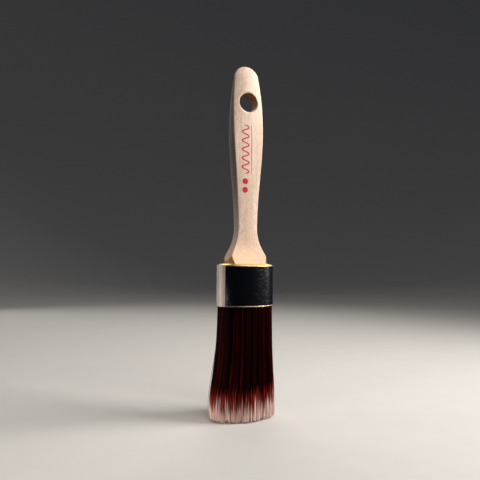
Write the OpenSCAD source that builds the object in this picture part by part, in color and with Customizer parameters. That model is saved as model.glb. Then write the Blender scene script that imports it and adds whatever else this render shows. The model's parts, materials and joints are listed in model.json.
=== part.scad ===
// Oval-headed stencil brush with a flat beech handle.
// The brush stands on its filament tips: the origin is the middle of the tips, +Z runs up the
// handle, X is the wide way of the head, and the front of the handle faces -Y.

/* [Ferrule] */
// Width of the head across the finished ferrule, label included
head_w = 36.8; // [34:0.2:40]
// Depth of the head, front to back, label included
head_d = 27.2; // [25:0.2:29]
// Height of the straight wall, from the mouth to the start of the domed top
ferrule_h = 25.1; // [23:0.1:28]
// Rise of the domed top above the straight wall
dome_h = 1.4; // [1:0.1:2]
// Thickness of the sheet metal
metal_t = 0.4; // [0.3:0.05:0.6]
// Height of the rolled bead round the mouth
bead_h = 0.9; // [0.6:0.1:1.2]

/* [Label] */
// Thickness of the black sleeve
sleeve_t = 0.15; // [0.1:0.01:0.25]
// Thickness of the cream strip that closes the sleeve
strip_t = 0.12; // [0.08:0.01:0.2]
// How far the strip reaches in from the narrow side
strip_reach = 2.5; // [1.5:0.1:5]
// How far the strip stands past the sleeve at each end
strip_proud = 0.6; // [0.2:0.1:0.8]

/* [Handle] */
// Height of the handle above the ferrule's straight wall
handle_len = 128.4; // [110:0.2:140]
// Width at the belly
belly_w = 21.2; // [18:0.2:24]
// Height of the widest place
belly_z = 88; // [80:1:95]
// Width at the waist
waist_w = 13.9; // [12:0.1:16]
// Height of the waist
waist_z = 24; // [20:1:30]
// Thickness at the belly
belly_d = 10.8; // [9:0.1:12]
// Thickness at the waist
waist_d = 8.3; // [7:0.1:9]
// Diameter of the hanging hole
hole_d = 12; // [10:0.1:13]
// Height of the hanging hole's centre
hole_z = 103.8; // [98:0.2:106]
// Width of the oval plug at the foot of the handle
plug_w = 26.6; // [24:0.2:28]
// Length of the tenon below the ferrule's domed top
tenon_len = 10; // [8:0.5:11]

/* [Filaments] */
// Free length of the filaments below the ferrule
free_len = 68.6; // [60:0.2:76]
// Width of the tuft at the tips
tip_w = 42; // [38:0.5:44]
// Depth of the tuft at the tips
tip_d = 31; // [28:0.5:33]
// Length of filament held inside the ferrule
root_len = 13; // [10:0.5:14]

/* [Hidden] */

eps = 0.02;          // thickness of the thin slabs that a hull spans
past = 1;            // how far a cutting shape reaches past what it cuts
wide = 120;          // larger than any section of the brush
fit_gap = 0.05;      // glue line between pieces that touch
curve_fn = 96;       // facets of a full circle on visible curves
mouth_z = free_len;                  // ferrule mouth
top_z = mouth_z + ferrule_h;         // top of the straight wall, where the handle's heights start
metal_a = head_w / 2 - sleeve_t;     // half width of the bare ferrule
metal_b = head_d / 2 - sleeve_t;     // half depth of the bare ferrule
bore_a = metal_a - metal_t;
bore_b = metal_b - metal_t;
end_ratio = 0.76;                    // radius of the oval's ends over its half depth

// ---- ovals ------------------------------------------------------------------------------

// An oval of half width a and half depth b from four arcs: two ends of radius r, and two long
// sides that run tangent into them.
module oval(a, b) {
    r = b * end_ratio;
    side_r = (pow(a - r, 2) + b * b - r * r) / (2 * (b - r));
    side_y = side_r - b;
    touch_x = (a - r) * side_r / (side_r - r);
    for (s = [-1, 1]) translate([s * (a - r), 0]) circle(r = r, $fn = curve_fn);
    intersection() {
        translate([0, side_y]) circle(r = side_r, $fn = curve_fn);
        translate([0, -side_y]) circle(r = side_r, $fn = curve_fn);
        square([2 * touch_x, 4 * b], center = true);
    }
}

module oval_slab(a, b, z0, z1) {
    translate([0, 0, z0]) linear_extrude(z1 - z0) oval(a, b);
}

// The same oval as a ring of points, for shapes that taper
module faceted_oval(a, b) {
    r = b * end_ratio;
    side_r = (pow(a - r, 2) + b * b - r * r) / (2 * (b - r));
    touch = atan2(a - r, side_r - b);
    steps = 6;
    long_side = [for (i = [-steps : steps]) touch * i / steps];
    round_end = [for (i = [1 - steps : steps - 1]) (90 - touch) * i / steps];
    polygon(concat(
        [for (t = long_side) [side_r * sin(t), b - side_r * (1 - cos(t))]],
        [for (t = round_end) [a - r + r * cos(t), -r * sin(t)]],
        [for (t = long_side) [-side_r * sin(t), side_r * (1 - cos(t)) - b]],
        [for (t = round_end) [r - a - r * cos(t), r * sin(t)]]));
}

module faceted_slab(a, b, z0, z1) {
    translate([0, 0, z0]) linear_extrude(z1 - z0) faceted_oval(a, b);
}

// ---- handle -----------------------------------------------------------------------------
// Heights in this section are above the ferrule's straight wall.

limb_r = 237;        // radius of the long sides above the belly
crown_power = 3;     // squareness of the thinning towards the top, seen from the side
flare_r = 33;        // radius of the concave flare, seen from the front
flare_angle = 23.7;  // slope of the flare where it meets the plug
swell_z = 70;        // height of the thickest place, seen from the side
swell_foot = 16;     // height where the thickness starts to flare
swell_r = 26;        // radius of that flare
swell_angle = 22;    // slope of that flare at the plug
plug_r = 12.4;       // radius of the plug's round sides
rim_soft = 0.7;      // softening of the hanging hole's rims

function ease(u) = (1 - cos(180 * u)) / 2;

// Sideways growth of a flare: an arc of radius r, then a straight slope
function flare(d, r, angle) =
    d <= 0 ? 0 :
    d < r * sin(angle) ? r - sqrt(r * r - d * d) :
    r * (1 - cos(angle)) + (d - r * sin(angle)) * tan(angle);

// Above the belly each long side is a shallow arc, and one arc that touches both closes the top
limb_x = belly_w / 2 - limb_r;       // centre of the long side's arc
limb_len = handle_len - belly_z;
top_r = (pow(limb_r, 2) - pow(limb_x, 2) - pow(limb_len, 2)) / (2 * (limb_r - limb_len));
touch_z = belly_z + limb_r * (limb_len - top_r) / (limb_r - top_r);

function top_width(z) =
    z < touch_z ? limb_x + sqrt(pow(limb_r, 2) - pow(z - belly_z, 2)) :
    sqrt(max(0, pow(top_r, 2) - pow(z - handle_len + top_r, 2)));

function half_width(z) =
    z > belly_z ? top_width(z) :
    z > waist_z ? waist_w / 2 + (belly_w - waist_w) / 2 * ease((z - waist_z) / (belly_z - waist_z)) :
    waist_w / 2 + flare(waist_z - z, flare_r, flare_angle);

function half_depth(z) =
    z > swell_z ?
        belly_d / 2 * sqrt(max(0, 1 - pow((z - swell_z) / (handle_len - swell_z), crown_power))) :
    z > waist_z ? waist_d / 2 + (belly_d - waist_d) / 2 * ease((z - waist_z) / (swell_z - waist_z)) :
    waist_d / 2 + flare(swell_foot - max(z, dome_h), swell_r, swell_angle);

// Stations up the handle, closer together towards the rounded top
level_step = 3;      // between stations below the belly
side_steps = 16;     // stations from the plug to the thickest place, seen from the side
top_steps = 8;       // stations along each stretch above
top_start = asin((touch_z - handle_len + top_r) / top_r);
stations = concat([-tenon_len], [for (z = [0 : level_step : belly_z]) z],
    [for (i = [1 : top_steps]) belly_z + (touch_z - belly_z) * i / top_steps],
    [for (i = [1 : top_steps])
        handle_len - top_r * (1 - sin(top_start + (90 - top_start) * i / top_steps))]);
side_stations = concat([-tenon_len], [for (z = [dome_h : (swell_z - dome_h) / side_steps : swell_z]) z],
    [for (i = [1 : top_steps]) swell_z + (handle_len - swell_z) * sin(90 * i / top_steps)]);

// A vertical prism whose half width follows w at the given heights
module silhouette(width_at, heights, depth) {
    last = len(heights) - 1;
    rotate([90, 0, 0]) linear_extrude(depth, center = true) polygon(concat(
        [for (z = heights) [width_at(z), z]],
        [for (i = [last : -1 : 0]) [-width_at(heights[i]), heights[i]]]));
}

module plug_section(grow = 0) {
    reach = plug_w / 2 - plug_r;
    for (s = [-1, 1]) translate([s * reach, 0]) circle(r = plug_r + grow, $fn = curve_fn);
    square([2 * reach, 2 * plug_r], center = true);
}

module tenon_section(grow = 0) {
    intersection() {
        plug_section(grow);
        square([plug_w + 2 * past, 2 * (half_depth(dome_h) + grow)], center = true);
    }
}

module handle() {
    hole_half = half_depth(hole_z);
    color("burlywood") translate([0, 0, top_z]) difference() {
        intersection() {
            silhouette(function (z) half_width(z), stations, wide);
            rotate([0, 0, 90]) silhouette(function (z) half_depth(z), side_stations, wide);
            translate([0, 0, -tenon_len]) linear_extrude(handle_len + tenon_len) plug_section();
        }
        translate([0, 0, hole_z]) rotate([90, 0, 0]) {
            cylinder(d = hole_d, h = wide, center = true, $fn = curve_fn);
            for (s = [0, 1]) mirror([0, 0, s]) translate([0, 0, hole_half - rim_soft])
                cylinder(r1 = hole_d / 2, r2 = hole_d / 2 + 2 * rim_soft, h = 2 * rim_soft, $fn = curve_fn);
        }
    }
}

// ---- ferrule and label ------------------------------------------------------------------

dome_inset = 4.2;    // inset of the domed top's flat middle from the straight wall

// A straight oval wall with a low tapering top
module domed_block(a, b, z0, z1) {
    hull() {
        faceted_slab(a, b, z0, z1);
        faceted_slab(a - dome_inset, b - dome_inset, z1, z1 + dome_h);
    }
}

module ferrule() {
    color("gold") difference() {
        union() {
            domed_block(metal_a, metal_b, mouth_z, top_z);
            faceted_slab(head_w / 2, head_d / 2, mouth_z, mouth_z + bead_h);
        }
        domed_block(bore_a, bore_b, mouth_z - past, top_z - metal_t);
        translate([0, 0, top_z - past]) linear_extrude(dome_h + 2 * past) tenon_section(fit_gap);
    }
}

module wrap(inner, outer, z0, z1) {
    difference() {
        oval_slab(metal_a + outer, metal_b + outer, z0, z1);
        oval_slab(metal_a + inner, metal_b + inner, z0 - past, z1 + past);
    }
}

module label_wrap() {
    color([0.06, 0.06, 0.08]) wrap(0, sleeve_t, mouth_z + bead_h, top_z);
}

module label_strip() {
    edge_x = strip_reach - head_w / 2;
    color("linen") intersection() {
        wrap(sleeve_t, sleeve_t + strip_t, mouth_z + bead_h - strip_proud, top_z + strip_proud);
        translate([edge_x - head_w, -head_d, mouth_z - past])
            cube([head_w, 2 * head_d, ferrule_h + 3 * past]);
    }
}

// ---- inside the ferrule -----------------------------------------------------------------

plug_gap_w = 15;     // width of the spacer plug
plug_gap_d = 5.5;    // depth of the spacer plug
plug_lift = 1;       // height of the spacer plug's foot above the mouth
root_top = mouth_z + root_len;

module resin_setting() {
    color("goldenrod") difference() {
        oval_slab(bore_a - fit_gap, bore_b - fit_gap, root_top + fit_gap, top_z - metal_t - fit_gap);
        translate([0, 0, top_z - tenon_len - fit_gap]) linear_extrude(tenon_len + past)
            tenon_section(fit_gap);
    }
}

module spacer_section(grow = 0) {
    reach = (plug_gap_w - plug_gap_d) / 2;
    for (s = [-1, 1]) translate([s * reach, 0]) circle(d = plug_gap_d + 2 * grow, $fn = curve_fn);
    square([2 * reach, plug_gap_d + 2 * grow], center = true);
}

module spacer_plug() {
    color("tan") translate([0, 0, mouth_z + plug_lift])
        linear_extrude(root_len - plug_lift) spacer_section();
}

// ---- filaments --------------------------------------------------------------------------
// The filaments bend together, so the bundle is cut into four lengths. Each length turns on a
// round ridge along the top of the cut, and the flanks slope away from it to leave room for the
// turn. The cuts bend front to back, then sideways, then front to back again.

ridge_r = 3;                         // radius of each ridge
flex_gap = 0.1;                      // play round each ridge
spare_angle = 1;                     // slope of the flanks beyond the largest turn
bend_z = mouth_z - 11;               // axis of the first bend, along X
bend_max = 20;
sway_z = mouth_z - 31;               // axis of the sideways bend, along Y
sway_max = 15;
tip_bend_z = mouth_z - 50;           // axis of the second bend, along X
tip_bend_max = 24;

module ridge(r) {
    rotate([0, 90, 0]) cylinder(r = r, h = wide, center = true, $fn = curve_fn);
}

// The space of the length above a cut: flat underneath, with a groove for the ridge
module above_cut(z, turn) {
    translate([0, 0, z]) rotate([0, 0, turn]) difference() {
        translate([-wide / 2, -wide / 2, 0]) cube(wide);
        ridge(ridge_r + flex_gap);
    }
}

// The space of the length below a cut: a ridge between two sloping flanks
module below_cut(z, turn, angle) {
    drop = wide / 2 * tan(angle + spare_angle);
    translate([0, 0, z]) rotate([0, 0, turn]) {
        ridge(ridge_r);
        rotate([90, 0, 90]) linear_extrude(wide, center = true)
            polygon([[0, 0], [wide / 2, -drop], [wide / 2, -wide], [-wide / 2, -wide], [-wide / 2, -drop]]);
    }
}

module tuft_body() {
    hull() {
        faceted_slab(tip_w / 2, tip_d / 2, 0, eps);
        faceted_slab(bore_a - fit_gap, bore_b - fit_gap, mouth_z - eps, mouth_z);
    }
}

module tuft_root() {
    color([0.2, 0.02, 0.03]) difference() {
        union() {
            intersection() {
                tuft_body();
                above_cut(bend_z, 0);
            }
            faceted_slab(bore_a - fit_gap, bore_b - fit_gap, mouth_z - eps, root_top);
        }
        translate([0, 0, mouth_z + plug_lift - fit_gap]) linear_extrude(root_len + past)
            spacer_section(fit_gap);
    }
}

module tuft_upper() {
    color([0.25, 0.03, 0.04]) intersection() {
        tuft_body();
        below_cut(bend_z, 0, bend_max);
        above_cut(sway_z, 90);
    }
}

module tuft_middle() {
    color([0.35, 0.04, 0.05]) intersection() {
        tuft_body();
        below_cut(sway_z, 90, sway_max);
        above_cut(tip_bend_z, 0);
    }
}

module tuft_lower() {
    color([0.75, 0.55, 0.48]) intersection() {
        tuft_body();
        below_cut(tip_bend_z, 0, tip_bend_max);
    }
}

handle();
ferrule();
label_wrap();
label_strip();
resin_setting();
spacer_plug();
tuft_root();
tuft_upper();
tuft_middle();
tuft_lower();
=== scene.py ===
"""Looks of the oval stencil brush: beech handle, brass ferrule, printed sleeve and a tuft of filaments.

Lengths are millimetres, except in the studio section, and become metres as a mesh is made. Heights are
the CAD frame's: z = 0 is the filament tips. Each visible piece replaces the CAD node that it stands for.
"""

import json
import math

import bmesh
import bpy
import numpy as np
from mathutils import Matrix, Vector


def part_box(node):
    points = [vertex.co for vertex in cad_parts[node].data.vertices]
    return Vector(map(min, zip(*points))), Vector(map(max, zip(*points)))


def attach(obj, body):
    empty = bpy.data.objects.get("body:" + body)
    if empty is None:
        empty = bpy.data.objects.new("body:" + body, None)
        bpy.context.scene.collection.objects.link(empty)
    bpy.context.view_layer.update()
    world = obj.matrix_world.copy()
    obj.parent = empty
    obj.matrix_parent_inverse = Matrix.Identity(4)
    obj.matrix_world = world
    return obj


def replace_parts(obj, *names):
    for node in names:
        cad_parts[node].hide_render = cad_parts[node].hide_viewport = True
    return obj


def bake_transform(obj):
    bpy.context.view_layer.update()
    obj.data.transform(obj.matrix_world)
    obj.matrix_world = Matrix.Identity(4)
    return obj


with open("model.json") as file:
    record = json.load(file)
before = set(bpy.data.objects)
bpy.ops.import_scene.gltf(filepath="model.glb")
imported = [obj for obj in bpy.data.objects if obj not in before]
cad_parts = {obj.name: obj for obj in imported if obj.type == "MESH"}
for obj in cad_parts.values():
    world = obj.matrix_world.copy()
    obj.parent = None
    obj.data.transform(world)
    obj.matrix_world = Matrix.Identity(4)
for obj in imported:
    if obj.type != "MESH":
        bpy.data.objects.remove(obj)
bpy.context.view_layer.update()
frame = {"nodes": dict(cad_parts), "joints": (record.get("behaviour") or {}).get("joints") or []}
MM = 0.001


def node_box(node):
    """Lowest and highest corner of a CAD node, in millimetres."""
    low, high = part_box(node)
    return np.array(low) / MM, np.array(high) / MM


def joint_height(name):
    """Height of a hinge's axis, in millimetres."""
    joint = next(j for j in frame["joints"] if j["name"] == name)
    return joint["pos_m"][2] / MM


# ---- sizes taken from the frame ----------------------------------------------------------

FERRULE_LOW, FERRULE_HIGH = node_box("ferrule")
SLEEVE_LOW, SLEEVE_HIGH = node_box("label_wrap")
STRIP_LOW, STRIP_HIGH = node_box("label_strip")
HANDLE_LOW, HANDLE_HIGH = node_box("handle")
_, TIPS_HIGH = node_box("tuft_lower")

MOUTH_Z = FERRULE_LOW[2]
TOP_Z = SLEEVE_HIGH[2]                 # top of the ferrule's straight wall
DOME_H = FERRULE_HIGH[2] - TOP_Z
BEAD_H = SLEEVE_LOW[2] - MOUTH_Z
HEAD_A, HEAD_B = SLEEVE_HIGH[0], SLEEVE_HIGH[1]
SLEEVE_T = 0.15
METAL_A, METAL_B = HEAD_A - SLEEVE_T, HEAD_B - SLEEVE_T
METAL_T = 0.4
ROLL_H = 0.4                           # depth below TOP_Z at which the wall starts to roll in
ROLL_POWER = 0.85                      # squareness of the roll
END_RATIO = 0.76                       # radius of the oval's ends over its half depth

# ---- the handle's shape, with heights above TOP_Z ----------------------------------------

HANDLE_LEN = HANDLE_HIGH[2] - TOP_Z
TENON_Z = HANDLE_LOW[2] - TOP_Z
PLUG_W = HANDLE_HIGH[0] * 2
PLUG_R = 12.4
BELLY_W, BELLY_Z = 21.2, 88.0
WAIST_W, WAIST_Z = 13.9, 24.0
BELLY_D, SWELL_Z = 10.8, 70.0
WAIST_D = 8.3
FLARE_R, FLARE_ANGLE = 33.0, math.radians(23.7)
SWELL_FOOT, SWELL_R, SWELL_ANGLE = 16.0, 26.0, math.radians(22)
CROWN_POWER = 3.0                      # squareness of the thinning towards the top
LIMB_R = 237.0                         # radius of the long sides above the belly
LOW_CROWN, HIGH_CROWN = 0.45, 1.45     # how far the faces bulge above the foot, and more near the top
LOW_CROWN_Z, HIGH_CROWN_Z = (6, 22), (72, 118)
SHAPED_Z = (7, 22)                     # above the plug, the sides are crowned and the edges rounded
EDGE_R = 0.9                           # rounding of the handle's long edges
BULGE_R = 16.0                         # radius of the handle's crowned narrow sides
SHARP_R = 0.45                         # rounding where the handle meets the ferrule
HOLE_R = 6.0
HOLE_Z = 103.8
HOLE_SOFT = 1.3                        # rounding of the hole's rims


def smooth_step(low, high, value):
    """0 below low, 1 above high and a smooth rise between."""
    t = np.clip((value - low) / (high - low), 0, 1)
    return t * t * (3 - 2 * t)


def ease(u):
    """A half wave from 0 to 1 as u goes from 0 to 1."""
    return (1 - math.cos(math.pi * u)) / 2


def flare(d, radius, angle):
    """Sideways growth: an arc of the given radius, then a straight slope."""
    if d <= 0:
        return 0.0
    if d < radius * math.sin(angle):
        return radius - math.sqrt(radius * radius - d * d)
    return radius * (1 - math.cos(angle)) + (d - radius * math.sin(angle)) * math.tan(angle)


# Above the belly each long side is a shallow arc, and one arc that touches both closes the top.
LIMB_X = BELLY_W / 2 - LIMB_R
LIMB_LEN = HANDLE_LEN - BELLY_Z
TOP_R = (LIMB_R**2 - LIMB_X**2 - LIMB_LEN**2) / (2 * (LIMB_R - LIMB_LEN))
TOUCH_Z = BELLY_Z + LIMB_R * (LIMB_LEN - TOP_R) / (LIMB_R - TOP_R)


def half_width(z):
    """Half the handle's width: round top, shallow belly, waist and flared foot."""
    if z > TOUCH_Z:
        return math.sqrt(max(0.0, TOP_R**2 - (z - HANDLE_LEN + TOP_R) ** 2))
    if z > BELLY_Z:
        return LIMB_X + math.sqrt(LIMB_R**2 - (z - BELLY_Z) ** 2)
    if z > WAIST_Z:
        return WAIST_W / 2 + (BELLY_W - WAIST_W) / 2 * ease((z - WAIST_Z) / (BELLY_Z - WAIST_Z))
    return WAIST_W / 2 + flare(WAIST_Z - z, FLARE_R, FLARE_ANGLE)


def half_depth(z):
    """Half the handle's thickness at the middle of its faces."""
    if z > SWELL_Z:
        thinning = ((z - SWELL_Z) / (HANDLE_LEN - SWELL_Z)) ** CROWN_POWER
        return BELLY_D / 2 * math.sqrt(max(0.0, 1 - thinning))
    if z > WAIST_Z:
        return WAIST_D / 2 + (BELLY_D - WAIST_D) / 2 * ease((z - WAIST_Z) / (SWELL_Z - WAIST_Z))
    return WAIST_D / 2 + flare(SWELL_FOOT - max(z, DOME_H), SWELL_R, SWELL_ANGLE)


# ---- mesh helpers ------------------------------------------------------------------------

SHARP_ANGLE = math.radians(40)


def mesh_piece(name, points, faces, sharp=True):
    """A smooth-shaded mesh object from millimetre points. Edges over SHARP_ANGLE stay crisp."""
    mesh = bpy.data.meshes.new(name)
    mesh.from_pydata((np.asarray(points, float) * MM).tolist(), [], faces)
    mesh.validate()
    mesh.shade_smooth()
    piece = bpy.data.objects.new(name, mesh)
    bpy.context.scene.collection.objects.link(piece)
    if sharp:
        mark_sharp(mesh)
    return piece


def mark_sharp(mesh):
    """Marks the edges that turn by more than SHARP_ANGLE, so that they are shaded crisp."""
    work = bmesh.new()
    work.from_mesh(mesh)
    for edge in work.edges:
        if len(edge.link_faces) == 2 and edge.calc_face_angle(0) > SHARP_ANGLE:
            edge.smooth = False
    work.to_mesh(mesh)
    work.free()


def loft(rings, wrap=False, capped=True):
    """Points and faces of a skin over rings of equal length. wrap joins the last ring to the first."""
    rings = [np.asarray(r, float) for r in rings]
    count, size = len(rings), len(rings[0])
    faces = []
    for i in range(count if wrap else count - 1):
        a, b = i * size, (i + 1) % count * size
        for j in range(size):
            k = (j + 1) % size
            faces.append((a + j, a + k, b + k, b + j))
    if capped and not wrap:
        faces.append(tuple(reversed(range(size))))
        faces.append(tuple(range((count - 1) * size, count * size)))
    return np.vstack(rings), faces


def oval(a, b, angles):
    """Points and outward normals of the four-arc oval, one for each direction of the normal."""
    r = b * END_RATIO
    side_r = ((a - r) ** 2 + b * b - r * r) / (2 * (b - r))
    touch = math.atan2(side_r - b, a - r)
    c, s = np.cos(angles), np.sin(angles)
    on_end = np.abs(s) < math.sin(touch)
    x = np.where(on_end, np.sign(c) * (a - r) + r * c, side_r * c)
    y = np.where(on_end, r * s, side_r * s - np.sign(s) * (side_r - b))
    return np.stack([x, y], 1), np.stack([c, s], 1)


def evaluated_copy(piece):
    """Bakes a piece's modifiers into its mesh."""
    graph = bpy.context.evaluated_depsgraph_get()
    mesh = bpy.data.meshes.new_from_object(piece.evaluated_get(graph))
    piece.modifiers.clear()
    piece.data = mesh
    return piece


# ---- handle ------------------------------------------------------------------------------

SIDE_SAMPLES, FACE_SAMPLES, ARC_SAMPLES = 29, 25, 6


def face_crown(z):
    """How much further the middle of a face stands out than its edges: most near the top."""
    crown = LOW_CROWN * smooth_step(*LOW_CROWN_Z, z) + HIGH_CROWN * smooth_step(*HIGH_CROWN_Z, z)
    return float(min(crown, 0.6 * half_depth(z)))


def handle_ring(z):
    """One level section: crowned faces and sides, cut by the oval plug, with rounded corners."""
    width, crown = half_width(z), face_crown(z)
    depth = half_depth(z) - crown
    shaped = float(smooth_step(*SHAPED_Z, z))
    radius = min(SHARP_R + (EDGE_R - SHARP_R) * shaped, 0.9 * depth, 0.9 * width)
    reach = PLUG_W / 2 - PLUG_R
    y = np.linspace(-1, 1, SIDE_SAMPLES) * (depth - radius)
    on_plug = reach + np.sqrt((PLUG_R - radius) ** 2 - y**2)
    sagitta = shaped * min(1.0, width / 5) * (BULGE_R - np.sqrt(BULGE_R**2 - y**2))
    x = np.minimum(width - radius - sagitta, on_plug)
    slope = np.gradient(x, y)
    length = np.hypot(1, slope)
    side = np.stack([x + radius / length, y - radius * slope / length], 1)
    start = math.atan2(-slope[-1], 1)
    face_tilt = math.atan2(2 * crown, x[-1])
    turn = np.linspace(start, math.pi / 2 - face_tilt, ARC_SAMPLES + 1)[1:]
    corner = np.stack([x[-1] + radius * np.cos(turn), y[-1] + radius * np.sin(turn)], 1)
    face_x = np.linspace(corner[-1, 0], -corner[-1, 0], FACE_SAMPLES + 2)[1:-1]
    rise = corner[-1, 1] + crown * (1 - (face_x / corner[-1, 0]) ** 2)
    face = np.stack([face_x, rise], 1)
    mirror_x, mirror_y = np.array([-1, 1]), np.array([1, -1])
    ring = np.vstack([
        side, corner, face, (corner * mirror_x)[::-1],
        (side * mirror_x)[::-1], corner * mirror_x * mirror_y, face * np.array([-1, -1]),
        (corner * mirror_y)[::-1],
    ])
    return np.column_stack([ring, np.full(len(ring), TOP_Z + z)])


def face_depth(x, z):
    """Half thickness of the handle at x, away from its rounded corners."""
    return half_depth(z) - face_crown(z) * (x / half_width(z)) ** 2


def hole_cutter():
    """A spool whose rounded ends follow the handle's faces, so that the hole's rims are soft."""
    around = np.linspace(2 * math.pi, 0, 96, endpoint=False)
    profile = [(HOLE_R, 0.0)]
    for t in np.linspace(0, math.pi / 2, 7):
        profile.append((HOLE_R + HOLE_SOFT * (1 - math.cos(t)), HOLE_SOFT * math.sin(t)))
    profile.append((HOLE_R + HOLE_SOFT + 1, HOLE_SOFT + 3))
    rings = []
    for side in (-1, 1):
        steps = profile if side > 0 else profile[::-1]
        for radius, out in steps:
            face = np.array([face_depth(radius * math.cos(a), HOLE_Z + radius * math.sin(a)) for a in around])
            y = side * (face - HOLE_SOFT + out)
            rings.append(np.stack([radius * np.cos(around), y, TOP_Z + HOLE_Z + radius * np.sin(around)], 1))
    points, faces = loft(rings)
    return mesh_piece("hole_cutter", points, faces)


def make_handle():
    """The handle as one skin over level rings, close together at the foot and the top, then drilled."""
    fine_top, shaft_top = 10, BELLY_Z + 16
    fine_step, shaft_step, top_rings = 0.2, 0.8, 44
    gap = 0.003
    foot = np.array([TENON_Z, TENON_Z / 2, 0, DOME_H * 0.5])
    band = np.arange(DOME_H, fine_top, fine_step)
    shaft = np.arange(fine_top, shaft_top, shaft_step)
    top = shaft_top + (HANDLE_LEN - shaft_top - gap) * np.sin(np.linspace(0, math.pi / 2, top_rings))
    points, faces = loft([handle_ring(z) for z in np.concatenate([foot, band, shaft, top])])
    handle = mesh_piece("handle_beech", points, faces)
    cutter = hole_cutter()
    cut = handle.modifiers.new("hanging_hole", "BOOLEAN")
    cut.operation, cut.solver, cut.object = "DIFFERENCE", "EXACT", cutter
    evaluated_copy(handle)
    bpy.data.objects.remove(cutter)
    mark_sharp(handle.data)
    return handle


# ---- ferrule and label -------------------------------------------------------------------

AROUND = np.linspace(0, 2 * math.pi, 288, endpoint=False)


def offset_ring(outset, z):
    """A level ring that stands outset from the bare ferrule's wall."""
    flat, normal = oval(METAL_A, METAL_B, AROUND)
    return np.column_stack([flat + normal * outset, np.full(len(AROUND), float(z))])


def tenon_outline(directions, grow):
    """Where rays from the middle meet the tenon: flat faces between the plug's round sides."""
    depth = half_depth(DOME_H) + grow
    reach, radius = PLUG_W / 2 - PLUG_R, PLUG_R + grow
    c, s = np.cos(directions), np.sin(directions)
    to_face = depth / np.maximum(np.abs(s), 1e-9)
    along = np.abs(c) * reach
    to_side = along + np.sqrt(along**2 - reach**2 + radius**2)
    return np.minimum(to_face, to_side)[:, None] * np.stack([c, s], 1)


def make_ferrule():
    """Sheet metal: rolled bead at the mouth, straight wall, domed top with the tenon's opening."""
    bead_r = BEAD_H / 2
    rings = []
    for t in np.linspace(-math.pi / 2, math.pi / 2, 13):
        outset = SLEEVE_T + 0.1 - bead_r + bead_r * math.cos(t)
        rings.append(offset_ring(max(outset, 0.0), MOUTH_Z + bead_r + bead_r * math.sin(t)))
    for z in np.linspace(MOUTH_Z + BEAD_H + 0.05, TOP_Z - ROLL_H, 12):
        rings.append(offset_ring(0.0, z))
    flat, _ = oval(METAL_A, METAL_B, AROUND)
    inner = tenon_outline(np.arctan2(flat[:, 1], flat[:, 0]), 0.05)
    top_rings = []
    for t in np.linspace(0, 1, 15):
        angle = t * math.pi / 2
        share = 1 - math.cos(angle)
        height = TOP_Z - ROLL_H + (DOME_H + ROLL_H) * math.sin(angle) ** ROLL_POWER
        top_rings.append(np.column_stack([flat * (1 - share) + inner * share, np.full(len(flat), height)]))
    rings += top_rings[1:]
    for ring in reversed(top_rings[2:]):
        low = ring.copy()
        low[:, 2] -= METAL_T
        rings.append(low)
    for z in np.linspace(TOP_Z - 1, MOUTH_Z + 0.25, 6):
        rings.append(offset_ring(-METAL_T, z))
    points, faces = loft(rings, wrap=True)
    return mesh_piece("ferrule_shell", points, faces, sharp=False)


def film_bumps(seed, count, z_low, z_high, tallest):
    """Random dents and ridges of a film glued round the ferrule: (angle, height, widths, size, tilt)."""
    rng = np.random.default_rng(seed)
    return [
        (
            rng.uniform(0, 2 * math.pi), rng.uniform(z_low, z_high),
            rng.uniform(0.05, 0.16), rng.uniform(1.0, 4.5),
            rng.uniform(-0.3, 1.0) * tallest, rng.uniform(-1.2, 1.2),
        )
        for _ in range(count)
    ]


def film_height(bumps, angles, z):
    """Height of the film above its lowest lie, for each angle at height z."""
    total = np.zeros(len(angles))
    for angle, height, across, along, size, tilt in bumps:
        turn = (angles - angle + math.pi) % (2 * math.pi) - math.pi
        u = turn / across + tilt * (z - height) / along
        v = (z - height) / along
        total += size * np.exp(-(u * u) - v * v)
    return np.clip(total, 0, None)


def film(name, low_z, high_z, lie, thickness, bumps, rows=60, keep=None):
    """A thin closed film round the ferrule. keep is the span of angles it covers, or None for all."""
    angles = AROUND if keep is None else np.linspace(keep[0], keep[1], 90)
    flat, normal = oval(METAL_A, METAL_B, angles)
    outer, inner = [], []
    for z in np.linspace(low_z, high_z, rows):
        rise = film_height(bumps, angles, z)
        for rings, out in ((inner, lie), (outer, lie + thickness)):
            rings.append(np.column_stack([flat + normal * (out + rise)[:, None], np.full(len(flat), z)]))
    if keep is None:
        points, faces = loft(outer + inner[::-1], wrap=True)
    else:
        loops = [np.vstack([o, i[::-1]]) for o, i in zip(outer, inner)]
        points, faces = loft(loops)
    return mesh_piece(name, points, faces)


def make_sleeve():
    """The black film, with small dents and ridges."""
    low, high = SLEEVE_LOW[2], SLEEVE_HIGH[2]
    bumps = film_bumps(11, 110, low, high, 0.07)
    gap = 0.02
    return film("label_sleeve", low + gap, high - gap, lie=gap, thickness=0.1, bumps=bumps)


def make_strip():
    """The cream strip: it covers the narrow side at -X as far in as the CAD strip does."""
    edge = math.pi
    for angle in np.linspace(math.pi / 2, math.pi, 400):
        point, _ = oval(METAL_A, METAL_B, np.array([angle]))
        if point[0, 0] <= STRIP_HIGH[0]:
            edge = angle
            break
    bumps = film_bumps(5, 14, STRIP_LOW[2], STRIP_HIGH[2], 0.03)
    lie = SLEEVE_T + 0.03
    return film("label_strip_cream", STRIP_LOW[2], STRIP_HIGH[2], lie, thickness=0.11, bumps=bumps,
                rows=40, keep=(edge, 2 * math.pi - edge))


# ---- filaments ---------------------------------------------------------------------------

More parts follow.
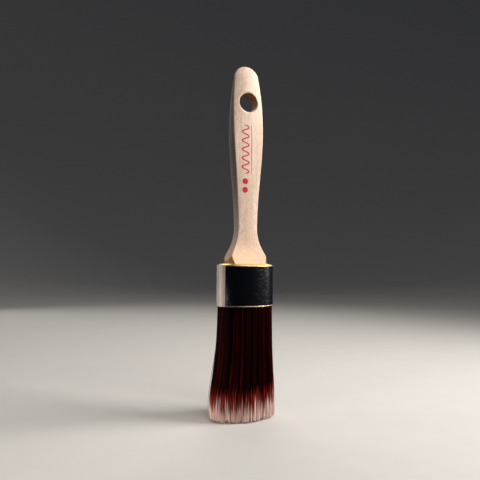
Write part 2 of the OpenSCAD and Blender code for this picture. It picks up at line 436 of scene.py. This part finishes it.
BORE = (METAL_A - METAL_T - 0.2, METAL_B - METAL_T - 0.2)   # half sizes of the oval that the roots fill
SPACING = 0.345                        # between neighbouring filaments at the mouth
ROOT_R, TIP_R = 0.17, 0.095            # radius of a filament at its root and its tip
SIDES = 4                              # of a filament's tube, so that walls and ends both have four corners
SKIN = 2.2                             # depth of the outer layer that gets more rings
ROOT_SCATTER = 0.22                    # of the roots, over SPACING
CLUMPS = 640
CLUMP_PULL = (0.05, 0.22)              # how far the tips of a clump draw together
CLUMP_WANDER, OWN_WANDER = 0.24, 0.2   # sideways scatter of the tips
LOCK = 0.55                            # width of a lock of filaments that share a colour and length
OWN_TRIM, CLUMP_TRIM, LOCK_TRIM = 0.7, 0.5, 0.6    # scatter of the tips' heights
CLUMP_TONE, LOCK_TONE, LONER_TONE = 0.1, 0.22, 0.2  # scatter of the filaments' tone
MEAN_TONE = 0.47
LONERS = 0.55                          # share of filaments whose tone strays from their lock's
STRAYS = 0.012                         # share of filaments that stick out
STRAY_OUT, STRAY_RISE = (0.3, 1.3), 6  # how far their tips stand out, and the most they fall short
WAVE, WAVE_TURN = 0.16, 9              # width of a filament's waves, and their turn along it in radians
THICKNESS = (0.85, 1.15)               # of single filaments, over the mean
COLUMNS = 256                          # kinds of filament in the colour map
LENGTH_SPAN = 76.0                     # length that the colour map covers, from the tip
HIDDEN_ROOT = 3.0                      # length of filament drawn inside the ferrule
BEND_Z, SWAY_Z, TIP_BEND_Z = map(joint_height, ("bristle_bend", "bristle_sway", "tip_bend"))
SPLIT_A = (BEND_Z + SWAY_Z) / 2
SPLIT_B = (SWAY_Z + TIP_BEND_Z) / 2
TIP_LEAN = -1.2                        # the tuft sits slightly to one side
LEFT_DRAG = (1.3, 1.2)                 # how much further the tips at -X spread, to the left and forward
DRAG_X = (4, 18)                       # distance to the left over which that grows
DYE_RISE, CLUMP_DYE = 2.2, 0.5         # how much higher the pale dye reaches at +X, and its scatter
DYE_X = (-6, 16)                       # x over which it rises


def filament_roots(rng):
    """Where the filaments leave the ferrule: a jittered honeycomb that fills the bore.

    Also the bore's reach along each root's direction, and the root's distance from the middle.
    """
    bore_a, bore_b = BORE
    step_y = SPACING * math.sqrt(3) / 2
    roots = []
    for row, y in enumerate(np.arange(-bore_b, bore_b, step_y)):
        for x in np.arange(-bore_a - SPACING, bore_a, SPACING):
            roots.append((x + (row % 2) * SPACING / 2, y))
    roots = np.array(roots) + rng.normal(0, SPACING * ROOT_SCATTER, (len(roots), 2))
    edge = oval_reach(bore_a, bore_b, np.arctan2(roots[:, 1], roots[:, 0]))
    distance = np.hypot(roots[:, 0], roots[:, 1])
    inside = distance < edge
    return roots[inside], edge[inside], distance[inside]


def gather_clumps(rng, roots):
    """The clumps' middles, and the nearest one's number for each root."""
    reach = np.sqrt(rng.uniform(0, 1, CLUMPS))
    turn = rng.uniform(0, 2 * math.pi, CLUMPS)
    on_edge = np.stack([np.cos(turn), np.sin(turn)], 1) * np.array(BORE)
    middles = reach[:, None] * on_edge
    gap = ((roots[:, None, :] - middles[None]) ** 2).sum(2)
    return middles, gap.argmin(1)


def gather_locks(roots):
    """The number of each root's lock, and how many locks there are."""
    _, lock = np.unique(np.floor(roots / LOCK), axis=0, return_inverse=True)
    return lock.ravel(), lock.max() + 1


def spread_tips(rng, roots, middles, clump):
    """Where the filaments end: the tuft flares, and each clump draws together."""
    spread = np.array([TIPS_HIGH[0] / (METAL_A - METAL_T), TIPS_HIGH[1] / (METAL_B - METAL_T)])
    tips = roots * spread
    pull = (middles[clump] * spread - tips) * rng.uniform(*CLUMP_PULL, CLUMPS)[clump][:, None]
    wander = rng.normal(0, CLUMP_WANDER, (CLUMPS, 2))[clump] + rng.normal(0, OWN_WANDER, roots.shape)
    tips = tips + pull + wander + np.array([TIP_LEAN, 0])
    return tips - smooth_step(*DRAG_X, -roots[:, 0])[:, None] * np.array(LEFT_DRAG)


def filament_tones(rng, clump, lock, locks):
    """Tone of each filament, 0 to 1, shared by a clump and a lock but for the loners."""
    tone = rng.normal(MEAN_TONE, CLUMP_TONE, CLUMPS)[clump] + rng.normal(0, LOCK_TONE, locks)[lock]
    loner = rng.uniform(0, 1, len(clump)) < LONERS
    tone[loner] += rng.normal(0, LONER_TONE, loner.sum())
    return np.clip(tone, 0, 0.999)


def filament_set(seed=7):
    """Where every filament starts and ends, with its column of the colour map and its small differences."""
    rng = np.random.default_rng(seed)
    roots, edge, distance = filament_roots(rng)
    count = len(roots)
    middles, clump = gather_clumps(rng, roots)
    lock, locks = gather_locks(roots)
    tips = spread_tips(rng, roots, middles, clump)
    tip_z = np.abs(rng.normal(0, OWN_TRIM, count)) + np.abs(rng.normal(0, CLUMP_TRIM, CLUMPS))[clump]
    tip_z += np.abs(rng.normal(0, LOCK_TRIM, locks))[lock]
    stray = rng.uniform(0, 1, count) < STRAYS
    outward = roots / np.maximum(distance, 1e-6)[:, None]
    tips[stray] += outward[stray] * rng.uniform(*STRAY_OUT, (stray.sum(), 1))
    tip_z[stray] += rng.uniform(0, STRAY_RISE, stray.sum())
    tone = filament_tones(rng, clump, lock, locks)
    dye = DYE_RISE * smooth_step(*DYE_X, roots[:, 0]) + rng.normal(0, CLUMP_DYE, CLUMPS)[clump]
    return {
        "roots": roots, "tips": tips, "tip_z": tip_z, "dye": dye,
        "column": (tone * COLUMNS).astype(int),
        "skin": edge - distance < SKIN,
        "wave": rng.normal(0, WAVE, (count, 2)),
        "phase": rng.uniform(0, 2 * math.pi, (count, 2)),
        "turn": rng.uniform(0, 2 * math.pi, count),
        "thick": rng.uniform(*THICKNESS, count),
    }


def oval_reach(a, b, directions):
    """Distance from the middle to the four-arc oval along each direction."""
    angles = np.linspace(0, 2 * math.pi, 1440, endpoint=False)
    flat, _ = oval(a, b, angles)
    polar = np.arctan2(flat[:, 1], flat[:, 0])
    order = np.argsort(polar)
    return np.interp(directions, polar[order], np.hypot(*flat.T)[order], period=2 * math.pi)


def flare_share(s):
    """How far towards its tip a filament has spread, at share s of its free length."""
    return 0.5 * s + 0.55 * smooth_step(0.3, 0.85, s) - 0.12 * smooth_step(0.85, 1.0, s)


def filament_ring(fibres, pick, heights):
    """Centre and radius of the picked filaments at one height each."""
    roots, tips = fibres["roots"][pick], fibres["tips"][pick]
    s = np.clip((MOUTH_Z - heights) / MOUTH_Z, 0, 1)
    share = flare_share(s)[:, None]
    sway = fibres["wave"][pick] * np.sin(s[:, None] * WAVE_TURN + fibres["phase"][pick]) * s[:, None]
    centre = roots + (tips - roots) * share + sway
    radius = (ROOT_R + (TIP_R - ROOT_R) * s**1.5) * fibres["thick"][pick]
    return centre, radius


def tube_points(fibres, pick, heights):
    """Corners of the picked filaments' tubes: by filament, by ring, round the ring."""
    rows, count = heights.shape
    corner = fibres["turn"][pick][:, None] + np.arange(SIDES) * 2 * math.pi / SIDES
    around = np.stack([np.cos(corner), np.sin(corner)], 2)
    points = np.zeros((count, rows, SIDES, 3))
    for row in range(rows):
        centre, radius = filament_ring(fibres, pick, heights[row])
        points[:, row, :, :2] = centre[:, None] + around * radius[:, None, None]
        points[:, row, :, 2] = heights[row][:, None]
    return points.reshape(-1, 3)


def tube_faces(count, rows):
    """The tubes' walls, then their two ends, as rows of four corners."""
    base = np.arange(count)[:, None, None] * rows * SIDES
    row_at = np.arange(rows - 1)[None, :, None] * SIDES
    side = np.arange(SIDES)[None, None]
    after = (side + 1) % SIDES
    walls = np.stack([
        base + row_at + after, base + row_at + side,
        base + row_at + SIDES + side, base + row_at + SIDES + after], 3).reshape(-1, 4)
    first = (np.arange(count) * rows * SIDES)[:, None] + np.arange(SIDES)
    last = first + (rows - 1) * SIDES
    return walls, np.vstack([first, last[:, ::-1]])


def filament_piece(name, fibres, pick, levels):
    """Square tubes along the picked filaments. levels(tip_z) gives each ring's heights."""
    heights = levels(fibres["tip_z"][pick])
    rows, count = heights.shape
    points = tube_points(fibres, pick, heights)
    walls, ends = tube_faces(count, rows)
    faces = np.vstack([walls, ends])
    mesh = bpy.data.meshes.new(name)
    mesh.vertices.add(len(points))
    mesh.vertices.foreach_set("co", (points.ravel() * MM).astype(np.float32))
    mesh.loops.add(faces.size)
    mesh.loops.foreach_set("vertex_index", faces.astype(np.int32).ravel())
    mesh.polygons.add(len(faces))
    mesh.polygons.foreach_set("loop_start", (np.arange(len(faces)) * SIDES).astype(np.int32))
    mesh.update(calc_edges=True)
    set_colour_map(mesh, fibres, pick, heights, faces)
    mesh.shade_smooth()
    sharpen_ends(mesh, walls.size)
    piece = bpy.data.objects.new(name, mesh)
    bpy.context.scene.collection.objects.link(piece)
    return piece


def sharpen_ends(mesh, first_loop):
    """Crisp edges round the tubes' ends, whose loops start at first_loop."""
    loop_edge = np.empty(len(mesh.loops), np.int32)
    mesh.loops.foreach_get("edge_index", loop_edge)
    is_sharp = np.zeros(len(mesh.edges), bool)
    is_sharp[loop_edge[first_loop:]] = True
    mesh.attributes.new("sharp_edge", "BOOLEAN", "EDGE").data.foreach_set("value", is_sharp)


def set_colour_map(mesh, fibres, pick, heights, faces):
    """UVs: u is the filament's column of the colour map and v the distance from its tip.

    The rise of the filament's dye is taken off that distance.
    """
    rows = heights.shape[0]
    from_tip = (heights - fibres["tip_z"][pick] - fibres["dye"][pick]).T / LENGTH_SPAN
    v = np.repeat(np.clip(from_tip, 0.002, 0.998)[:, :, None], SIDES, 2).ravel()
    column = np.repeat(fibres["column"][pick], rows * SIDES)
    loop_vertex = faces.ravel()
    corner = np.tile(np.array([0.1, 0.9, 0.9, 0.1]), len(faces))
    u = (column[loop_vertex] + corner) / COLUMNS
    layer = mesh.uv_layers.new(name="OFBake")
    layer.data.foreach_set("uv", np.stack([u, v[loop_vertex]], 1).astype(np.float32).ravel())


def levels_between(high, low, rows):
    """Heights that are the same for every filament."""
    def levels(tip_z):
        return np.repeat(np.linspace(high, low, rows)[:, None], len(tip_z), 1)
    return levels


def levels_to_tip(high, rows):
    """Heights from high down to each filament's own tip, closer together near the tip."""
    def levels(tip_z):
        share = np.linspace(0, 1, rows)[:, None] ** 0.8
        return high + (tip_z[None] - high) * share
    return levels


def make_filaments(material):
    """Three lengths of the tuft, each as an outer layer and a plainer core."""
    fibres = filament_set()
    outer = np.flatnonzero(fibres["skin"])
    inner = np.flatnonzero(~fibres["skin"])
    root_z = MOUTH_Z + HIDDEN_ROOT

    def add(name, pick, levels, nodes):
        piece = filament_piece(name, fibres, pick, levels)
        give(piece, material)
        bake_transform(piece)
        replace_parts(piece, *nodes)

    for layer, pick, upper_rows, tip_rows in (("outer", outer, 6, 9), ("inner", inner, 4, 5)):
        add(f"filaments_upper_{layer}", pick, levels_between(root_z, SPLIT_A, upper_rows),
            ("tuft_root", "tuft_upper"))
        add(f"filaments_middle_{layer}", pick, levels_between(SPLIT_A, SPLIT_B, 4),
            ("tuft_middle",))
        add(f"filament_tips_{layer}", pick, levels_to_tip(SPLIT_B, tip_rows),
            ("tuft_lower",))
    print("filaments:", len(outer) + len(inner), "outer:", len(outer))


# ---- materials ---------------------------------------------------------------------------


class Nodes:
    """Short calls for building a material's node tree."""

    def __init__(self, name):
        self.material = bpy.data.materials.new(name)
        self.material.use_nodes = True
        self.tree = self.material.node_tree
        self.shader = self.tree.nodes["Principled BSDF"]

    def node(self, kind, inputs=None, **settings):
        node = self.tree.nodes.new(kind)
        for key, value in settings.items():
            setattr(node, key, value)
        for key, value in (inputs or {}).items():
            self.feed(node.inputs[key], value)
        return node

    def feed(self, socket, value):
        if isinstance(value, bpy.types.NodeSocket):
            self.tree.links.new(value, socket)
        else:
            socket.default_value = value

    def math(self, operation, a, b=0.0, c=0.0):
        node = self.node("ShaderNodeMath", operation=operation)
        for socket, value in zip(node.inputs, (a, b, c)):
            self.feed(socket, value)
        return node.outputs[0]

    def distance(self, a, b):
        return self.math("ABSOLUTE", self.math("SUBTRACT", a, b))

    def span(self, value, low, high, out_low=0.0, out_high=1.0):
        """value from low..high to out_low..out_high, smoothly and clamped."""
        node = self.node("ShaderNodeMapRange", interpolation_type="SMOOTHSTEP")
        for key, given in zip(("Value", "From Min", "From Max", "To Min", "To Max"),
                              (value, low, high, out_low, out_high)):
            self.feed(node.inputs[key], given)
        return node.outputs["Result"]

    def mix(self, share, a, b):
        node = self.node("ShaderNodeMix", data_type="RGBA")
        colour_a, colour_b = [s for s in node.inputs if s.type == "RGBA"]
        self.feed(node.inputs["Factor"], share)
        self.feed(colour_a, a)
        self.feed(colour_b, b)
        return next(s for s in node.outputs if s.type == "RGBA")

    def position(self):
        """x, y and z on the object, in millimetres."""
        coordinates = self.node("ShaderNodeTexCoord").outputs["Object"]
        scaled = self.node("ShaderNodeVectorMath", {0: coordinates, 1: (1 / MM,) * 3}, operation="MULTIPLY")
        return scaled.outputs[0]

    def stretched(self, vector, scale):
        return self.node("ShaderNodeVectorMath", {0: vector, 1: scale}, operation="MULTIPLY").outputs[0]

    def noise(self, vector, scale=1.0, detail=3.0, rough=0.5, distortion=0.0):
        node = self.node("ShaderNodeTexNoise", {
            "Vector": vector, "Scale": scale, "Detail": detail, "Roughness": rough, "Distortion": distortion})
        return node.outputs["Fac"]

    def bump(self, height, distance_mm, strength):
        node = self.node("ShaderNodeBump", {
            "Height": height, "Distance": distance_mm * MM, "Strength": strength})
        self.feed(self.shader.inputs["Normal"], node.outputs[0])

    def set(self, **values):
        """Feeds the shader's inputs. An underscore in a name stands for a space."""
        for key, value in values.items():
            self.feed(self.shader.inputs[key.replace("_", " ")], value)


def rgb(red, green, blue):
    """An opaque colour."""
    return (red, green, blue, 1.0)


def beech_colour(n, place):
    """Pale beech: broad bands that run out near the top, fine fibres and short dark flecks."""
    split = n.node("ShaderNodeSeparateXYZ", {0: place})
    x, y, z = split.outputs
    # The growth rings lean over where the faces thin towards the top.
    lean = n.math("MULTIPLY", n.span(z, TOP_Z + 96, TOP_Z + 128), 2.5)
    ring = n.node("ShaderNodeCombineXYZ", {0: x, 1: n.math("ADD", y, lean), 2: z}).outputs[0]
    bands = n.noise(n.stretched(ring, (0.6, 0.9, 0.02)), detail=4, rough=0.6, distortion=0.5)
    fibres = n.noise(n.stretched(ring, (5.0, 5.0, 0.22)), detail=4, rough=0.7)
    flecks = n.noise(n.stretched(ring, (3.4, 3.4, 0.95)), detail=3, rough=0.6)
    base = n.mix(n.span(bands, 0.3, 0.7), rgb(0.83, 0.6, 0.45), rgb(0.94, 0.76, 0.63))
    base = n.mix(n.span(fibres, 0.46, 0.66, 0, 0.6), base, rgb(0.66, 0.4, 0.26))
    base = n.mix(n.span(flecks, 0.53, 0.63, 0, 0.6), base, rgb(0.5, 0.27, 0.16))
    return base, fibres, flecks


def red_mark(n, place):
    """A plain printed mark: a fine rule with a wavy stroke beside it, and two dots below."""
    split = n.node("ShaderNodeSeparateXYZ", {0: place})
    x, y, z = split.outputs
    rule_x, wave_x = 1.6, -2.4
    swing, wave_len = 2.2, 5.6
    low, high = TOP_Z + 58, TOP_Z + 89
    in_span = n.math("MULTIPLY", n.math("GREATER_THAN", z, low), n.math("LESS_THAN", z, high))
    on_rule = n.math("LESS_THAN", n.distance(x, rule_x), 0.2)
    turn = n.math("MULTIPLY", n.math("SUBTRACT", z, low), 2 * math.pi / wave_len)
    crest = n.math("MULTIPLY_ADD", n.math("SINE", turn), swing, wave_x)
    steepness = n.math("MULTIPLY", n.math("COSINE", turn), swing * 2 * math.pi / wave_len)
    stretch = n.math("SQRT", n.math("MULTIPLY_ADD", steepness, steepness, 1.0))
    off_wave = n.math("DIVIDE", n.math("ABSOLUTE", n.math("SUBTRACT", x, crest)), stretch)
    on_wave = n.math("LESS_THAN", off_wave, 0.42)
    mark = n.math("MULTIPLY", n.math("MAXIMUM", on_rule, on_wave), in_span)
    for dot_z in (TOP_Z + 47.8, TOP_Z + 53.2):
        along, across = n.distance(z, dot_z), n.distance(x, wave_x)
        away = n.math("SQRT", n.math("MULTIPLY_ADD", along, along, n.math("MULTIPLY", across, across)))
        mark = n.math("MAXIMUM", mark, n.math("LESS_THAN", away, 1.9))
    return n.math("MULTIPLY", mark, n.math("LESS_THAN", y, -2.0))


def wood_material():
    n = Nodes("beech")
    place = n.position()
    colour, fibres, flecks = beech_colour(n, place)
    split = n.node("ShaderNodeSeparateXYZ", {0: place})
    x, y, z = split.outputs
    # Warmer towards the ferrule, where the faces flare: painted light, a warm tint that stands in for how the
    # light falls on the flared faces.
    colour = n.mix(n.span(z, TOP_Z + 26, TOP_Z + 2, 0, 0.5), colour, rgb(0.84, 0.5, 0.27))
    # The plug's round sides are painted amber: a painted reflection of the warm light thrown up by the brass
    # dome.
    reach = n.math("SUBTRACT", n.math("ABSOLUTE", x), PLUG_W / 2 - PLUG_R)
    from_axis = n.math("SQRT", n.math("ADD", n.math("MULTIPLY", reach, reach), n.math("MULTIPLY", y, y)))
    colour = n.mix(n.span(from_axis, PLUG_R - 0.3, PLUG_R - 0.05, 0, 0.96), colour, rgb(0.52, 0.23, 0.015))
    # The drilled bore is painted darker than the faces: painted shade inside the hole.
    rise = n.distance(z, TOP_Z + HOLE_Z)
    from_hole = n.math("SQRT", n.math("ADD", n.math("MULTIPLY", rise, rise), n.math("MULTIPLY", x, x)))
    colour = n.mix(n.span(from_hole, HOLE_R + 0.45, HOLE_R + 0.05, 0, 0.9), colour, rgb(0.4, 0.2, 0.06))
    ink = n.noise(n.stretched(place, (3, 3, 3)), detail=2)
    mark = n.math("MULTIPLY", red_mark(n, place), n.span(ink, 0.25, 0.4, 0.75, 1.0))
    colour = n.mix(mark, colour, rgb(0.62, 0.012, 0.03))
    n.set(Base_Color=colour, Roughness=n.span(fibres, 0.3, 0.7, 0.5, 0.66), Specular_IOR_Level=0.35)
    height = n.math("ADD", n.math("MULTIPLY", fibres, 0.7), n.math("MULTIPLY", flecks, 0.3))
    n.bump(height, 0.12, 0.5)
    return n.material


def brass_material():
    n = Nodes("brass_plate")
    place = n.position()
    cloud = n.noise(n.stretched(place, (0.25, 0.25, 0.6)), detail=4)
    scratch = n.noise(n.stretched(place, (0.7, 0.7, 14)), detail=3, rough=0.7)
    colour = n.mix(cloud, rgb(1.0, 0.75, 0.24), rgb(1.0, 0.84, 0.38))
    # The bead round the mouth is duller than the dome.
    z = n.node("ShaderNodeSeparateXYZ", {0: place}).outputs[2]
    colour = n.mix(n.span(z, MOUTH_Z + 3, MOUTH_Z + 1), colour, rgb(0.5, 0.34, 0.2))
    n.set(Base_Color=colour, Metallic=1.0, Roughness=n.span(scratch, 0.3, 0.75, 0.36, 0.5))
    n.bump(scratch, 0.03, 0.3)
    return n.material


def sleeve_material():
    n = Nodes("black_film")
    place = n.position()
    crinkle = n.noise(n.stretched(place, (0.34, 0.34, 0.5)), detail=3, rough=0.45, distortion=0.6)
    scuffs = n.noise(n.stretched(place, (1.2, 1.2, 2.4)), detail=4, rough=0.7)
    colour = n.mix(n.span(scuffs, 0.5, 0.8, 0, 0.5), rgb(0.001, 0.001, 0.0025), rgb(0.005, 0.005, 0.011))
    n.set(Base_Color=colour, Roughness=n.span(scuffs, 0.3, 0.8, 0.2, 0.36), Specular_IOR_Level=0.42,
          Specular_Tint=rgb(0.8, 0.85, 1.0), Coat_Weight=0.08, Coat_Roughness=0.12)
    n.bump(crinkle, 0.42, 0.6)
    return n.material


def strip_material():
    n = Nodes("cream_paper")
    place = n.position()
    fibre = n.noise(n.stretched(place, (2.2, 2.2, 2.2)), detail=5, rough=0.7)
    stain = n.noise(n.stretched(place, (0.2, 0.2, 0.12)), detail=3)
    colour = n.mix(fibre, rgb(0.8, 0.63, 0.5), rgb(0.88, 0.71, 0.58))
    colour = n.mix(n.span(stain, 0.45, 0.7, 0, 0.35), colour, rgb(0.48, 0.37, 0.29))
    n.set(Base_Color=colour, Roughness=0.42, Specular_IOR_Level=0.45)
    n.bump(fibre, 0.04, 0.3)
    return n.material


def filament_material():
    """Dark red filaments with cream tips. Everything comes from the colour map's two coordinates."""
    n = Nodes("filament")
    uv = n.node("ShaderNodeUVMap", uv_map="OFBake").outputs[0]
    split = n.node("ShaderNodeSeparateXYZ", {0: uv})
    u, v, _ = split.outputs
    column = n.math("FLOOR", n.math("MULTIPLY", u, COLUMNS))
    tone = n.math("DIVIDE", column, COLUMNS)
    chance = n.node("ShaderNodeTexWhiteNoise", {"W": column}, noise_dimensions="1D").outputs["Value"]
    other = n.node("ShaderNodeTexWhiteNoise", {"W": n.math("ADD", column, 511.5)}, noise_dimensions="1D")
    second = other.outputs["Value"]
    from_tip = n.math("MULTIPLY", v, LENGTH_SPAN)
    streak = n.node("ShaderNodeCombineXYZ", {0: column, 1: n.math("MULTIPLY", from_tip, 0.12)}).outputs[0]
    along = n.noise(streak, scale=1.0, detail=2)
    dark = n.mix(n.math("POWER", tone, 2.4), rgb(0.002, 0.0002, 0.0002), rgb(0.08, 0.0025, 0.0025))
    dark = n.mix(n.span(along, 0.45, 0.7, 0, 0.5), dark, rgb(0.012, 0.0006, 0.0006))
    red = n.mix(chance, rgb(0.09, 0.004, 0.004), rgb(0.45, 0.035, 0.02))
    cream = n.mix(second, rgb(0.8, 0.47, 0.37), rgb(0.98, 0.83, 0.74))
    red_end = n.math("MULTIPLY_ADD", chance, 8.0, 7.0)
    cream_end = n.math("MULTIPLY_ADD", n.math("POWER", second, 1.8), 8.5, 1.0)
    is_red = n.span(from_tip, n.math("ADD", red_end, 6.0), red_end)
    is_cream = n.span(from_tip, n.math("ADD", cream_end, 6.5), cream_end)
    colour = n.mix(is_red, dark, red)
    colour = n.mix(is_cream, colour, cream)
    n.set(Base_Color=colour, Roughness=0.45, Specular_IOR_Level=0.02, Metallic=0.1)
    return n.material


def resin_material():
    n = Nodes("amber_resin")
    place = n.position()
    cloud = n.noise(n.stretched(place, (0.2, 0.2, 0.2)), detail=3)
    colour = n.mix(cloud, rgb(0.45, 0.2, 0.03), rgb(0.7, 0.4, 0.1))
    n.set(Base_Color=colour, Roughness=0.18, Coat_Weight=0.5)
    n.bump(cloud, 0.2, 0.3)
    return n.material


def softwood_material():
    n = Nodes("raw_softwood")
    place = n.position()
    grain = n.noise(n.stretched(place, (1.6, 1.6, 0.06)), detail=4, distortion=0.6)
    colour = n.mix(n.span(grain, 0.35, 0.7), rgb(0.62, 0.42, 0.22), rgb(0.76, 0.58, 0.36))
    n.set(Base_Color=colour, Roughness=0.7)
    n.bump(grain, 0.1, 0.5)
    return n.material


def give(piece, material):
    """One material for the whole piece."""
    piece.data.materials.clear()
    piece.data.materials.append(material)


# ---- the brush ---------------------------------------------------------------------------


def build_brush():
    """Every piece, with its material; the handle, ferrule, sleeve and strip go on the root body."""
    handle = make_handle()
    give(handle, wood_material())
    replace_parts(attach(handle, "root"), "handle")

    ferrule = make_ferrule()
    give(ferrule, brass_material())
    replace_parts(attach(ferrule, "root"), "ferrule")

    sleeve = make_sleeve()
    give(sleeve, sleeve_material())
    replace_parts(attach(sleeve, "root"), "label_wrap")

    strip = make_strip()
    give(strip, strip_material())
    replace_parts(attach(strip, "root"), "label_strip")

    for node, material, slot in (
        ("resin_setting", resin_material(), "resin"),
        ("spacer_plug", softwood_material(), "plug_wood"),
    ):
        give(frame["nodes"][node], material)

    make_filaments(filament_material())


# ---- studio ------------------------------------------------------------------------------

# The studio's sizes are in metres.
FLOOR_R, WALL_R, WALL_H = 0.9, 2.4, 2.2
BRUSH_MIDDLE, TUFT_MIDDLE, TUFT_FOOT = (0, 0, 0.12), (0, 0, 0.045), (0, 0, 0)


def make_floor():
    """A plain pale floor that curves up all round into a plain backdrop."""
    profile = [(FLOOR_R * i / 6, 0.0) for i in range(1, 7)]
    bend = WALL_R - FLOOR_R
    profile += [(FLOOR_R + bend * math.sin(t), bend * (1 - math.cos(t))) for t in np.linspace(0.05, 1.5, 16)]
    profile.append((WALL_R, bend + WALL_H))
    around = np.linspace(0, 2 * math.pi, 64, endpoint=False)
    rings = [np.stack([r * np.cos(around), r * np.sin(around), np.full(64, h)], 1) / MM for r, h in profile]
    points, faces = loft(rings, capped=False)
    faces.append(tuple(reversed(range(64))))
    floor = mesh_piece("studio_floor", points, faces, sharp=False)
    n = Nodes("pale_floor")
    grain = n.noise(n.stretched(n.position(), (0.05, 0.05, 0.05)), detail=4)
    n.set(Base_Color=n.mix(grain, rgb(0.56, 0.54, 0.51), rgb(0.6, 0.58, 0.55)), Roughness=0.85)
    floor.data.materials.append(n.material)
    # The floor neither mirrors in the brass nor throws light back on the brush.
    floor.visible_glossy = False
    floor.visible_diffuse = False


def area_light(name, azimuth, elevation, distance, size, power, colour, aim=BRUSH_MIDDLE, spread=180):
    """A soft panel that looks at aim from a direction: azimuth 0 is in front, 90 on the right."""
    data = bpy.data.lights.new(name, "AREA")
    data.spread = math.radians(spread)
    data.shape, data.size, data.size_y = "RECTANGLE", size[0], size[1]
    data.energy, data.color = power, colour
    light = bpy.data.objects.new(name, data)
    a, e = math.radians(azimuth), math.radians(elevation)
    away = Vector((math.sin(a) * math.cos(e), -math.cos(a) * math.cos(e), math.sin(e)))
    light.location = Vector(aim) + away * distance
    light.rotation_mode = "QUATERNION"
    light.rotation_quaternion = (-away).to_track_quat("-Z", "Y")
    light.visible_camera = False
    bpy.context.scene.collection.objects.link(light)


def make_world():
    """A faint bluish light from all round."""
    world = bpy.data.worlds.new("studio")
    bpy.context.scene.world = world
    world.use_nodes = True
    back = world.node_tree.nodes["Background"]
    back.inputs["Color"].default_value = rgb(0.8, 0.86, 1.0)
    back.inputs["Strength"].default_value = 0.05


def make_lights():
    """A key light on the right, a front light, two lights behind and three narrow ones along the edges."""
    warm, soft = (1.0, 0.95, 0.9), (1.0, 0.97, 0.94)
    area_light("key", 64, 26, 0.75, (0.4, 0.45), 2.9, soft, spread=100)
    area_light("front", 12, 48, 0.9, (0.5, 0.4), 3.35, soft)
    area_light("rim_right", 82, 12, 0.7, (0.05, 0.4), 0.5, soft)
    area_light("top_back", 157, 42, 0.8, (0.5, 0.3), 2.2, warm)
    area_light("back_left", -165, 20, 0.8, (0.12, 0.6), 0.5, warm)
    area_light("rim_left", -118, 2, 0.45, (0.06, 0.1), 0.017, warm, TUFT_MIDDLE, 20)
    area_light("low_left", -70, 4, 0.45, (0.1, 0.06), 0.02, warm, TUFT_FOOT, 16)


# The camera's place round the brush, in millimetres and degrees.
CAMERA_AZIMUTH = -22.9
CAMERA_DISTANCE = 317.5
CAMERA_SIDE = -3.3
CAMERA_RISE = 1.0                      # above the top of the ferrule's wall
CAMERA_PITCH = 2.79
CAMERA_ROLL = 0.33
CAMERA_LENS = 37.5


def make_camera():
    """A camera that looks slightly up from in front and a little to the left."""
    data = bpy.data.cameras.new("camera")
    data.lens, data.sensor_width = CAMERA_LENS, 36
    data.clip_start, data.clip_end = 0.01, 20
    camera = bpy.data.objects.new("camera", data)
    bpy.context.scene.collection.objects.link(camera)
    turn = Matrix.Rotation(math.radians(CAMERA_AZIMUTH), 3, "Z")
    roll = Matrix.Rotation(math.radians(-CAMERA_ROLL), 3, "Y")
    frame_turn = turn @ roll
    pitch = math.radians(CAMERA_PITCH)
    right = frame_turn @ Vector((1, 0, 0))
    ahead = frame_turn @ Vector((0, math.cos(pitch), math.sin(pitch)))
    up = right.cross(ahead)
    place = frame_turn @ Vector((CAMERA_SIDE, -CAMERA_DISTANCE, CAMERA_RISE)) + Vector((0, 0, TOP_Z))
    basis = Matrix((right, up, -ahead)).transposed().to_4x4()
    camera.matrix_world = Matrix.Translation(place * MM) @ basis
    bpy.context.scene.camera = camera


build_brush()
make_floor()
make_world()
make_lights()
make_camera()
bpy.context.scene.view_settings.view_transform = "Standard"
